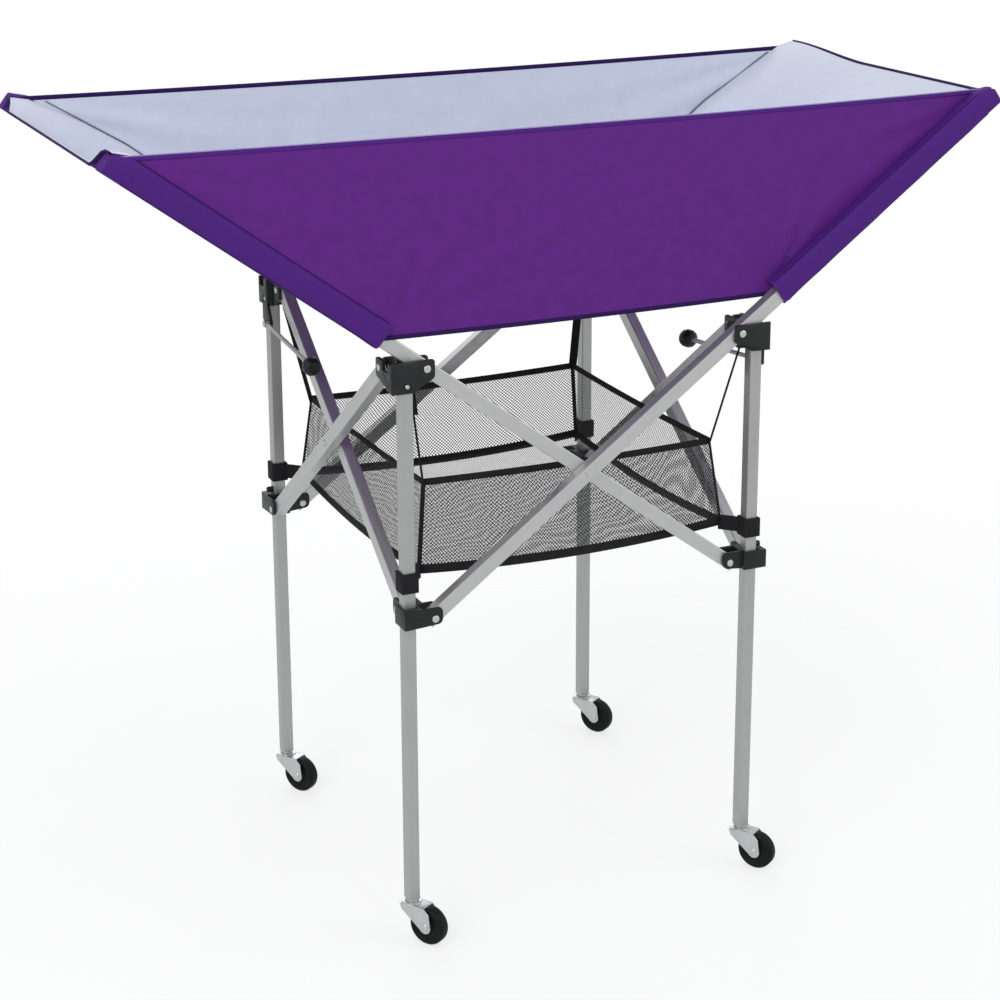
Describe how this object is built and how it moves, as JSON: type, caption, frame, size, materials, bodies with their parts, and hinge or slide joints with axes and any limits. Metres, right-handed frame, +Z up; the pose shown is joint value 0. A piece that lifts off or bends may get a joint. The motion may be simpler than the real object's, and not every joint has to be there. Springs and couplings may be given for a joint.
{
  "type": "folding ball cart",
  "caption": "Folding cart for sports balls: a boat-shaped fabric hammock on scissor-linked legs with swivel casters, and a mesh basket slung between the legs.",
  "frame": {"origin": "centre of the cart's footprint, on the floor that its casters stand on", "axes": "+X along the hammock, the cart's long side; -Y is the front; +Z up"},
  "size_m": [1.1596, 0.5394, 1.0166],
  "materials": {
    "aluminium": "satin",
    "zinc": "zinc plated",
    "black_plastic": "matte",
    "black_rubber": "matte",
    "purple_fabric": "coated woven",
    "black_mesh": "open mesh",
    "black_webbing": "woven webbing"
  },
  "bodies": {
    "leg_front_left": {"leg_fl": "aluminium", "upper_hub_fl": "black_plastic", "caster_stem_fl": "zinc", "basket_loop_fl": "black_webbing", "basket_hanger_fl": "black_webbing", "basket_front": "black_mesh", "basket_left": "black_mesh"},
    "leg_front_right": {"leg_fr": "aluminium", "upper_hub_fr": "black_plastic", "caster_stem_fr": "zinc", "basket_loop_fr": "black_webbing", "basket_hanger_fr": "black_webbing", "basket_right": "black_mesh"},
    "leg_back_left": {"leg_bl": "aluminium", "upper_hub_bl": "black_plastic", "caster_stem_bl": "zinc", "basket_loop_bl": "black_webbing", "basket_hanger_bl": "black_webbing", "basket_back": "black_mesh"},
    "leg_back_right": {"leg_br": "aluminium", "upper_hub_br": "black_plastic", "caster_stem_br": "zinc", "basket_loop_br": "black_webbing", "basket_hanger_br": "black_webbing"},
    "front_first_bar": {"front_bar_inner": "aluminium", "hammock_front": "purple_fabric", "hammock_left": "purple_fabric"},
    "front_second_bar": {"front_bar_outer": "aluminium", "hammock_right": "purple_fabric"},
    "left_first_bar": {"left_bar_outer": "aluminium"},
    "left_second_bar": {"left_bar_inner": "aluminium"},
    "back_first_bar": {"back_bar_outer": "aluminium", "hammock_back": "purple_fabric"},
    "back_second_bar": {"back_bar_inner": "aluminium"},
    "right_first_bar": {"right_bar_inner": "aluminium"},
    "right_second_bar": {"right_bar_outer": "aluminium"},
    "hammock_floor_left": {"hammock_floor_left": "purple_fabric"},
    "hammock_floor_right": {"hammock_floor_right": "purple_fabric"},
    "basket_floor_left": {"basket_floor_left": "black_mesh"},
    "basket_floor_right": {"basket_floor_right": "black_mesh"},
    "slider_fl": {"slider_fl": "black_plastic"},
    "slider_fr": {"slider_fr": "black_plastic"},
    "slider_br": {"slider_br": "black_plastic"},
    "slider_bl": {"slider_bl": "black_plastic"},
    "stay_fr": {"stay_rod_fr": "aluminium", "stay_knob_fr": "black_plastic"},
    "snap_button_fr": {"snap_button_fr": "black_plastic"},
    "stay_bl": {"stay_rod_bl": "aluminium", "stay_knob_bl": "black_plastic"},
    "snap_button_bl": {"snap_button_bl": "black_plastic"},
    "caster_fork_fl": {"caster_fork_fl": "zinc"},
    "caster_wheel_fl": {"caster_wheel_fl": "black_rubber"},
    "caster_fork_fr": {"caster_fork_fr": "zinc"},
    "caster_wheel_fr": {"caster_wheel_fr": "black_rubber"},
    "caster_fork_br": {"caster_fork_br": "zinc"},
    "caster_wheel_br": {"caster_wheel_br": "black_rubber"},
    "caster_fork_bl": {"caster_fork_bl": "zinc"},
    "caster_wheel_bl": {"caster_wheel_bl": "black_rubber"}
  },
  "joints": [
    {"name": "fold", "type": "hinge", "parent": "leg_front_left", "child": "front_first_bar", "pos_m": [-0.2085, -0.22518, 0.739], "axis": [0, 1, 0], "range_deg": [0, 44], "deforming": ["hammock_front", "hammock_back", "hammock_left", "hammock_right", "hammock_floor_left", "hammock_floor_right", "basket_front", "basket_back", "basket_left", "basket_right", "basket_floor_left", "basket_floor_right", "basket_hanger_fl", "basket_hanger_fr", "basket_hanger_br", "basket_hanger_bl", "basket_loop_fl", "basket_loop_fr", "basket_loop_br", "basket_loop_bl"]},
    {"name": "front_crossing", "type": "hinge", "parent": "front_first_bar", "child": "front_second_bar", "pos_m": [0, -0.22518, 0.585], "axis": [0, 1, 0], "range_deg": [-88, 0]},
    {"name": "front_first_foot", "type": "hinge", "parent": "front_first_bar", "child": "slider_fr", "pos_m": [0.2085, -0.22518, 0.431], "axis": [0, 1, 0], "range_deg": [-44, 0]},
    {"name": "front_second_foot", "type": "hinge", "parent": "front_second_bar", "child": "slider_fl", "pos_m": [-0.2085, -0.22518, 0.431], "axis": [0, 1, 0], "range_deg": [0, 44]},
    {"name": "front_second_head", "type": "hinge", "parent": "front_second_bar", "child": "leg_front_right", "pos_m": [0.2085, -0.22518, 0.739], "axis": [0, 1, 0], "range_deg": [0, 44]},
    {"name": "left_fold", "type": "hinge", "parent": "leg_front_left", "child": "left_first_bar", "pos_m": [-0.2365, -0.19718, 0.739], "axis": [-1, 0, 0], "range_deg": [0, 44]},
    {"name": "left_crossing", "type": "hinge", "parent": "left_first_bar", "child": "left_second_bar", "pos_m": [-0.2365, 0.01132, 0.585], "axis": [-1, 0, 0], "range_deg": [-88, 0]},
    {"name": "left_first_foot", "type": "hinge", "parent": "left_first_bar", "child": "slider_bl", "pos_m": [-0.2365, 0.21982, 0.431], "axis": [-1, 0, 0], "range_deg": [-44, 0]},
    {"name": "left_second_head", "type": "hinge", "parent": "left_second_bar", "child": "leg_back_left", "pos_m": [-0.2365, 0.21982, 0.739], "axis": [-1, 0, 0], "range_deg": [0, 44]},
    {"name": "back_fold", "type": "hinge", "parent": "leg_back_left", "child": "back_first_bar", "pos_m": [-0.2085, 0.24782, 0.739], "axis": [0, 1, 0], "range_deg": [0, 44]},
    {"name": "back_crossing", "type": "hinge", "parent": "back_first_bar", "child": "back_second_bar", "pos_m": [0, 0.24782, 0.585], "axis": [0, 1, 0], "range_deg": [-88, 0]},
    {"name": "back_first_foot", "type": "hinge", "parent": "back_first_bar", "child": "slider_br", "pos_m": [0.2085, 0.24782, 0.431], "axis": [0, 1, 0], "range_deg": [-44, 0]},
    {"name": "back_second_head", "type": "hinge", "parent": "back_second_bar", "child": "leg_back_right", "pos_m": [0.2085, 0.24782, 0.739], "axis": [0, 1, 0], "range_deg": [0, 44]},
    {"name": "right_fold", "type": "hinge", "parent": "leg_front_right", "child": "right_first_bar", "pos_m": [0.2365, -0.19718, 0.739], "axis": [-1, 0, 0], "range_deg": [0, 44]},
    {"name": "right_crossing", "type": "hinge", "parent": "right_first_bar", "child": "right_second_bar", "pos_m": [0.2365, 0.01132, 0.585], "axis": [-1, 0, 0], "range_deg": [-88, 0]},
    {"name": "hammock_floor_left_seam", "type": "hinge", "parent": "front_first_bar", "child": "hammock_floor_left", "pos_m": [-0.2749, 0.01132, 0.78], "axis": [0, 1, 0], "range_deg": [0, 35.2]},
    {"name": "hammock_floor_right_seam", "type": "hinge", "parent": "front_second_bar", "child": "hammock_floor_right", "pos_m": [0.2749, 0.01132, 0.78], "axis": [0, 1, 0], "range_deg": [-35.2, 0]},
    {"name": "basket_floor_left_edge", "type": "hinge", "parent": "leg_front_left", "child": "basket_floor_left", "pos_m": [-0.21, 0.01132, 0.479], "axis": [0, 1, 0], "range_deg": [0, 79.2]},
    {"name": "basket_floor_right_edge", "type": "hinge", "parent": "leg_front_right", "child": "basket_floor_right", "pos_m": [0.21, 0.01132, 0.479], "axis": [0, 1, 0], "range_deg": [-79.2, 0]},
    {"name": "stay_fr_swing", "type": "hinge", "parent": "leg_front_right", "child": "stay_fr", "pos_m": [0.2521, -0.20618, 0.692], "axis": [1, 0, 0], "range_deg": [-79.2, 0]},
    {"name": "snap_button_fr_press", "type": "slide", "parent": "leg_front_right", "child": "snap_button_fr", "axis": [-1, 0, 0], "range_m": [0, 0.006], "stiffness_N_per_m": 400, "springref_m": -0.004},
    {"name": "stay_bl_swing", "type": "hinge", "parent": "leg_back_left", "child": "stay_bl", "pos_m": [-0.2521, 0.22882, 0.692], "axis": [-1, 0, 0], "range_deg": [-79.2, 0]},
    {"name": "snap_button_bl_press", "type": "slide", "parent": "leg_back_left", "child": "snap_button_bl", "axis": [1, 0, 0], "range_m": [0, 0.006], "stiffness_N_per_m": 400, "springref_m": -0.004},
    {"name": "caster_swivel_fl", "type": "hinge", "parent": "leg_front_left", "child": "caster_fork_fl", "pos_m": [-0.2365, -0.22518, 0.0505], "axis": [0, 0, 1], "continuous": true},
    {"name": "caster_axle_fl", "type": "hinge", "parent": "caster_fork_fl", "child": "caster_wheel_fl", "pos_m": [-0.22261, -0.24657, 0.025], "axis": [0.8387, 0.5446, 0], "continuous": true},
    {"name": "caster_swivel_fr", "type": "hinge", "parent": "leg_front_right", "child": "caster_fork_fr", "pos_m": [0.2365, -0.22518, 0.0505], "axis": [0, 0, 1], "continuous": true},
    {"name": "caster_axle_fr", "type": "hinge", "parent": "caster_fork_fr", "child": "caster_wheel_fr", "pos_m": [0.25039, -0.24657, 0.025], "axis": [0.8387, 0.5446, 0], "continuous": true},
    {"name": "caster_swivel_br", "type": "hinge", "parent": "leg_back_right", "child": "caster_fork_br", "pos_m": [0.2365, 0.24782, 0.0505], "axis": [0, 0, 1], "continuous": true},
    {"name": "caster_axle_br", "type": "hinge", "parent": "caster_fork_br", "child": "caster_wheel_br", "pos_m": [0.25039, 0.22643, 0.025], "axis": [0.8387, 0.5446, 0], "continuous": true},
    {"name": "caster_swivel_bl", "type": "hinge", "parent": "leg_back_left", "child": "caster_fork_bl", "pos_m": [-0.2365, 0.24782, 0.0505], "axis": [0, 0, 1], "continuous": true},
    {"name": "caster_axle_bl", "type": "hinge", "parent": "caster_fork_bl", "child": "caster_wheel_bl", "pos_m": [-0.22261, 0.22643, 0.025], "axis": [0.8387, 0.5446, 0], "continuous": true}
  ],
  "couplings": [
    {"joint": "front_crossing", "follows": "fold", "ratio": -2},
    {"joint": "front_first_foot", "follows": "fold", "ratio": -1},
    {"joint": "front_second_foot", "follows": "fold", "ratio": 1},
    {"joint": "front_second_head", "follows": "fold", "ratio": 1},
    {"joint": "left_fold", "follows": "fold", "ratio": 1},
    {"joint": "left_crossing", "follows": "fold", "ratio": -2},
    {"joint": "left_first_foot", "follows": "fold", "ratio": -1},
    {"joint": "left_second_head", "follows": "fold", "ratio": 1},
    {"joint": "back_fold", "follows": "fold", "ratio": 1},
    {"joint": "back_crossing", "follows": "fold", "ratio": -2},
    {"joint": "back_first_foot", "follows": "fold", "ratio": -1},
    {"joint": "back_second_head", "follows": "fold", "ratio": 1},
    {"joint": "right_fold", "follows": "fold", "ratio": 1},
    {"joint": "right_crossing", "follows": "fold", "ratio": -2},
    {"joint": "hammock_floor_left_seam", "follows": "fold", "ratio": 0.8},
    {"joint": "hammock_floor_right_seam", "follows": "fold", "ratio": -0.8},
    {"joint": "basket_floor_left_edge", "follows": "fold", "ratio": 1.8},
    {"joint": "basket_floor_right_edge", "follows": "fold", "ratio": -1.8},
    {"joint": "stay_fr_swing", "follows": "fold", "ratio": -1.8},
    {"joint": "stay_bl_swing", "follows": "fold", "ratio": -1.8}
  ]
}
